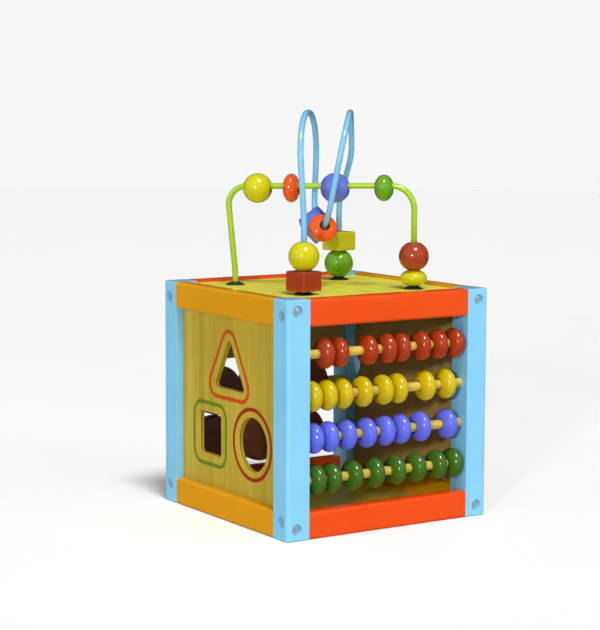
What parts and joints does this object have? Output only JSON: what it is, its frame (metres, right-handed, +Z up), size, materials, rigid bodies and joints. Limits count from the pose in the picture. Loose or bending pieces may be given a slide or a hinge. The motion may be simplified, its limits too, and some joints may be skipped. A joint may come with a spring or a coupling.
{
  "type": "shape sorter",
  "caption": "Wooden activity cube: a wall with holes for shaped blocks, a bead abacus, turning discs, a hinged door and a bead maze of bent wires on top.",
  "frame": {"origin": "middle of the base, on the surface the cube stands on", "axes": "+Z up; the abacus faces -Y, the sorting wall faces -X, the turning discs face +Y and the door faces +X"},
  "size_m": [0.2, 0.2021, 0.3425],
  "materials": {
    "sky_blue_paint": "gloss",
    "red_orange_paint": "gloss",
    "yellow_orange_paint": "gloss",
    "natural_plywood": "satin lacquer",
    "pale_dowel": "satin lacquer",
    "bead_red": "gloss",
    "bead_yellow": "gloss",
    "bead_blue": "gloss",
    "bead_green": "gloss",
    "maze_yellow": "gloss",
    "maze_orange": "gloss",
    "maze_violet": "gloss",
    "maze_green": "gloss",
    "maze_red": "gloss",
    "disc_red": "gloss",
    "disc_yellow": "gloss",
    "disc_green": "gloss",
    "blue_wire_enamel": "gloss",
    "green_wire_enamel": "gloss",
    "black_grommet": "satin",
    "screw_steel": "satin"
  },
  "bodies": {
    "cube_frame": {"corner_posts": "sky_blue_paint", "red_rails": "red_orange_paint", "yellow_rails": "yellow_orange_paint", "plywood_boards": "natural_plywood", "sorter_panel": "natural_plywood", "dowel_rods": "pale_dowel", "maze_wires": "blue_wire_enamel", "wire_grommets": "black_grommet", "frame_screws": "screw_steel"},
    "side_door": {"side_door": "natural_plywood"},
    "red_bead_1": {"red_bead_1": "bead_red"},
    "red_bead_2": {"red_bead_2": "bead_red"},
    "red_bead_3": {"red_bead_3": "bead_red"},
    "red_bead_4": {"red_bead_4": "bead_red"},
    "red_bead_5": {"red_bead_5": "bead_red"},
    "red_bead_6": {"red_bead_6": "bead_red"},
    "red_bead_7": {"red_bead_7": "bead_red"},
    "red_bead_8": {"red_bead_8": "bead_red"},
    "yellow_bead_1": {"yellow_bead_1": "bead_yellow"},
    "yellow_bead_2": {"yellow_bead_2": "bead_yellow"},
    "yellow_bead_3": {"yellow_bead_3": "bead_yellow"},
    "yellow_bead_4": {"yellow_bead_4": "bead_yellow"},
    "yellow_bead_5": {"yellow_bead_5": "bead_yellow"},
    "yellow_bead_6": {"yellow_bead_6": "bead_yellow"},
    "yellow_bead_7": {"yellow_bead_7": "bead_yellow"},
    "yellow_bead_8": {"yellow_bead_8": "bead_yellow"},
    "blue_bead_1": {"blue_bead_1": "bead_blue"},
    "blue_bead_2": {"blue_bead_2": "bead_blue"},
    "blue_bead_3": {"blue_bead_3": "bead_blue"},
    "blue_bead_4": {"blue_bead_4": "bead_blue"},
    "blue_bead_5": {"blue_bead_5": "bead_blue"},
    "blue_bead_6": {"blue_bead_6": "bead_blue"},
    "blue_bead_7": {"blue_bead_7": "bead_blue"},
    "blue_bead_8": {"blue_bead_8": "bead_blue"},
    "green_bead_1": {"green_bead_1": "bead_green"},
    "green_bead_2": {"green_bead_2": "bead_green"},
    "green_bead_3": {"green_bead_3": "bead_green"},
    "green_bead_4": {"green_bead_4": "bead_green"},
    "green_bead_5": {"green_bead_5": "bead_green"},
    "green_bead_6": {"green_bead_6": "bead_green"},
    "green_bead_7": {"green_bead_7": "bead_green"},
    "green_bead_8": {"green_bead_8": "bead_green"},
    "turning_disc_low_1": {"turning_disc_low_1": "disc_red"},
    "turning_disc_low_2": {"turning_disc_low_2": "disc_yellow"},
    "turning_disc_low_3": {"turning_disc_low_3": "disc_green"},
    "turning_disc_high_1": {"turning_disc_high_1": "disc_green"},
    "turning_disc_high_2": {"turning_disc_high_2": "disc_red"},
    "turning_disc_high_3": {"turning_disc_high_3": "disc_yellow"},
    "arch_yellow_ball": {"arch_yellow_ball": "maze_yellow"},
    "arch_orange_bead": {"arch_orange_bead": "maze_orange"},
    "arch_violet_ball": {"arch_violet_ball": "maze_violet"},
    "arch_green_oval": {"arch_green_oval": "maze_green"},
    "arch_yellow_bead": {"arch_yellow_bead": "maze_yellow"},
    "arch_red_ball": {"arch_red_ball": "maze_red"},
    "loop_red_block": {"loop_red_block": "maze_red"},
    "loop_yellow_ball": {"loop_yellow_ball": "maze_yellow"},
    "loop_green_ball": {"loop_green_ball": "maze_green"},
    "loop_yellow_block": {"loop_yellow_block": "maze_yellow"},
    "loop_orange_bead": {"loop_orange_bead": "maze_orange"},
    "loop_violet_block": {"loop_violet_block": "maze_violet"}
  },
  "joints": [
    {"name": "side_door_hinge", "type": "hinge", "parent": "cube_frame", "child": "side_door", "pos_m": [0.0905, -0.071, 0.097], "axis": [0, 0, -1], "range_deg": [0, 100]},
    {"name": "red_bead_1_slide", "type": "slide", "parent": "cube_frame", "child": "red_bead_1", "axis": [1, 0, 0], "range_m": [-0.0133, 0.0006]},
    {"name": "red_bead_2_slide", "type": "slide", "parent": "cube_frame", "child": "red_bead_2", "axis": [1, 0, 0], "range_m": [-0.0006, 0.0153]},
    {"name": "red_bead_3_slide", "type": "slide", "parent": "cube_frame", "child": "red_bead_3", "axis": [1, 0, 0], "range_m": [-0.0153, 0.0056]},
    {"name": "red_bead_4_slide", "type": "slide", "parent": "cube_frame", "child": "red_bead_4", "axis": [1, 0, 0], "range_m": [-0.0056, 0.0006]},
    {"name": "red_bead_5_slide", "type": "slide", "parent": "cube_frame", "child": "red_bead_5", "axis": [1, 0, 0], "range_m": [-0.0006, 0.0074]},
    {"name": "red_bead_6_slide", "type": "slide", "parent": "cube_frame", "child": "red_bead_6", "axis": [1, 0, 0], "range_m": [-0.0074, 0.0043]},
    {"name": "red_bead_7_slide", "type": "slide", "parent": "cube_frame", "child": "red_bead_7", "axis": [1, 0, 0], "range_m": [-0.0043, 0.0041]},
    {"name": "red_bead_8_slide", "type": "slide", "parent": "cube_frame", "child": "red_bead_8", "axis": [1, 0, 0], "range_m": [-0.0041, 0.0003]},
    {"name": "yellow_bead_1_slide", "type": "slide", "parent": "cube_frame", "child": "yellow_bead_1", "axis": [1, 0, 0], "range_m": [-0.0018, 0.0012]},
    {"name": "yellow_bead_2_slide", "type": "slide", "parent": "cube_frame", "child": "yellow_bead_2", "axis": [1, 0, 0], "range_m": [-0.0012, 0.0019]},
    {"name": "yellow_bead_3_slide", "type": "slide", "parent": "cube_frame", "child": "yellow_bead_3", "axis": [1, 0, 0], "range_m": [-0.0019, 0.0065]},
    {"name": "yellow_bead_4_slide", "type": "slide", "parent": "cube_frame", "child": "yellow_bead_4", "axis": [1, 0, 0], "range_m": [-0.0065, 0.0071]},
    {"name": "yellow_bead_5_slide", "type": "slide", "parent": "cube_frame", "child": "yellow_bead_5", "axis": [1, 0, 0], "range_m": [-0.0071, 0.0013]},
    {"name": "yellow_bead_6_slide", "type": "slide", "parent": "cube_frame", "child": "yellow_bead_6", "axis": [1, 0, 0], "range_m": [-0.0013, 0.0151]},
    {"name": "yellow_bead_7_slide", "type": "slide", "parent": "cube_frame", "child": "yellow_bead_7", "axis": [1, 0, 0], "range_m": [-0.0151, 0.0079]},
    {"name": "yellow_bead_8_slide", "type": "slide", "parent": "cube_frame", "child": "yellow_bead_8", "axis": [1, 0, 0], "range_m": [-0.0079, 0.0087]},
    {"name": "blue_bead_1_slide", "type": "slide", "parent": "cube_frame", "child": "blue_bead_1", "axis": [1, 0, 0], "range_m": [-0.0033, 0.0015]},
    {"name": "blue_bead_2_slide", "type": "slide", "parent": "cube_frame", "child": "blue_bead_2", "axis": [1, 0, 0], "range_m": [-0.0015, 0.0039]},
    {"name": "blue_bead_3_slide", "type": "slide", "parent": "cube_frame", "child": "blue_bead_3", "axis": [1, 0, 0], "range_m": [-0.0039, 0.0067]},
    {"name": "blue_bead_4_slide", "type": "slide", "parent": "cube_frame", "child": "blue_bead_4", "axis": [1, 0, 0], "range_m": [-0.0067, 0.0051]},
    {"name": "blue_bead_5_slide", "type": "slide", "parent": "cube_frame", "child": "blue_bead_5", "axis": [1, 0, 0], "range_m": [-0.0051, 0.0025]},
    {"name": "blue_bead_6_slide", "type": "slide", "parent": "cube_frame", "child": "blue_bead_6", "axis": [1, 0, 0], "range_m": [-0.0025, 0.0073]},
    {"name": "blue_bead_7_slide", "type": "slide", "parent": "cube_frame", "child": "blue_bead_7", "axis": [1, 0, 0], "range_m": [-0.0073, 0.0142]},
    {"name": "blue_bead_8_slide", "type": "slide", "parent": "cube_frame", "child": "blue_bead_8", "axis": [1, 0, 0], "range_m": [-0.0142, 0.007]},
    {"name": "green_bead_1_slide", "type": "slide", "parent": "cube_frame", "child": "green_bead_1", "axis": [1, 0, 0], "range_m": [-0.0059, 0.0019]},
    {"name": "green_bead_2_slide", "type": "slide", "parent": "cube_frame", "child": "green_bead_2", "axis": [1, 0, 0], "range_m": [-0.0019, 0.0076]},
    {"name": "green_bead_3_slide", "type": "slide", "parent": "cube_frame", "child": "green_bead_3", "axis": [1, 0, 0], "range_m": [-0.0076, 0.0082]},
    {"name": "green_bead_4_slide", "type": "slide", "parent": "cube_frame", "child": "green_bead_4", "axis": [1, 0, 0], "range_m": [-0.0082, 0.0083]},
    {"name": "green_bead_5_slide", "type": "slide", "parent": "cube_frame", "child": "green_bead_5", "axis": [1, 0, 0], "range_m": [-0.0083, 0.0076]},
    {"name": "green_bead_6_slide", "type": "slide", "parent": "cube_frame", "child": "green_bead_6", "axis": [1, 0, 0], "range_m": [-0.0076, 0.0081]},
    {"name": "green_bead_7_slide", "type": "slide", "parent": "cube_frame", "child": "green_bead_7", "axis": [1, 0, 0], "range_m": [-0.0081, 0.0034]},
    {"name": "green_bead_8_slide", "type": "slide", "parent": "cube_frame", "child": "green_bead_8", "axis": [1, 0, 0], "range_m": [-0.0034, 0.0005]},
    {"name": "turning_disc_low_1_spin", "type": "hinge", "parent": "cube_frame", "child": "turning_disc_low_1", "pos_m": [-0.056, 0.0895, 0.05], "axis": [1, 0, 0], "continuous": true},
    {"name": "turning_disc_low_2_spin", "type": "hinge", "parent": "cube_frame", "child": "turning_disc_low_2", "pos_m": [-0.01, 0.0895, 0.05], "axis": [1, 0, 0], "continuous": true},
    {"name": "turning_disc_low_3_spin", "type": "hinge", "parent": "cube_frame", "child": "turning_disc_low_3", "pos_m": [0.036, 0.0895, 0.05], "axis": [1, 0, 0], "continuous": true},
    {"name": "turning_disc_high_1_spin", "type": "hinge", "parent": "cube_frame", "child": "turning_disc_high_1", "pos_m": [-0.053, 0.0895, 0.0948], "axis": [1, 0, 0], "continuous": true},
    {"name": "turning_disc_high_2_spin", "type": "hinge", "parent": "cube_frame", "child": "turning_disc_high_2", "pos_m": [-0.0075, 0.0895, 0.0948], "axis": [1, 0, 0], "continuous": true},
    {"name": "turning_disc_high_3_spin", "type": "hinge", "parent": "cube_frame", "child": "turning_disc_high_3", "pos_m": [0.04, 0.0895, 0.0948], "axis": [1, 0, 0], "continuous": true},
    {"name": "arch_yellow_ball_slide", "type": "slide", "parent": "cube_frame", "child": "arch_yellow_ball", "axis": [0.707, -0.707, 0.0147], "range_m": [0, 0.0113]},
    {"name": "arch_orange_bead_slide", "type": "slide", "parent": "cube_frame", "child": "arch_orange_bead", "axis": [0.707, -0.707, 0.0147], "range_m": [-0.0113, 0.0197]},
    {"name": "arch_violet_ball_slide", "type": "slide", "parent": "cube_frame", "child": "arch_violet_ball", "axis": [0.707, -0.707, 0.0147], "range_m": [-0.0197, 0.0228]},
    {"name": "arch_green_oval_slide", "type": "slide", "parent": "cube_frame", "child": "arch_green_oval", "axis": [0.707, -0.707, 0.0147], "range_m": [-0.0228, 0.0007]},
    {"name": "arch_yellow_bead_slide", "type": "slide", "parent": "cube_frame", "child": "arch_yellow_bead", "axis": [0, 0, 1], "range_m": [0, 0.014]},
    {"name": "arch_red_ball_slide", "type": "slide", "parent": "arch_yellow_bead", "child": "arch_red_ball", "axis": [0, 0, 1], "range_m": [0, 0.013]},
    {"name": "loop_red_block_slide", "type": "slide", "parent": "cube_frame", "child": "loop_red_block", "axis": [0, 0, 1], "range_m": [0, 0.012]},
    {"name": "loop_yellow_ball_slide", "type": "slide", "parent": "loop_red_block", "child": "loop_yellow_ball", "axis": [0, 0, 1], "range_m": [0, 0.01]},
    {"name": "loop_green_ball_slide", "type": "slide", "parent": "cube_frame", "child": "loop_green_ball", "axis": [0, 0, 1], "range_m": [0, 0.009]},
    {"name": "loop_yellow_block_slide", "type": "slide", "parent": "loop_green_ball", "child": "loop_yellow_block", "axis": [0, 0, 1], "range_m": [0, 0.008]},
    {"name": "loop_orange_bead_swing", "type": "hinge", "parent": "cube_frame", "child": "loop_orange_bead", "pos_m": [-0.00071, -0.00293, 0.26467], "axis": [-0.917, 0.3625, 0.1663], "range_deg": [0, 38]},
    {"name": "loop_violet_block_swing", "type": "hinge", "parent": "cube_frame", "child": "loop_violet_block", "pos_m": [-0.00274, 0.00095, 0.26499], "axis": [-0.9296, 0.3675, 0.0284], "range_deg": [-28, 0]}
  ]
}
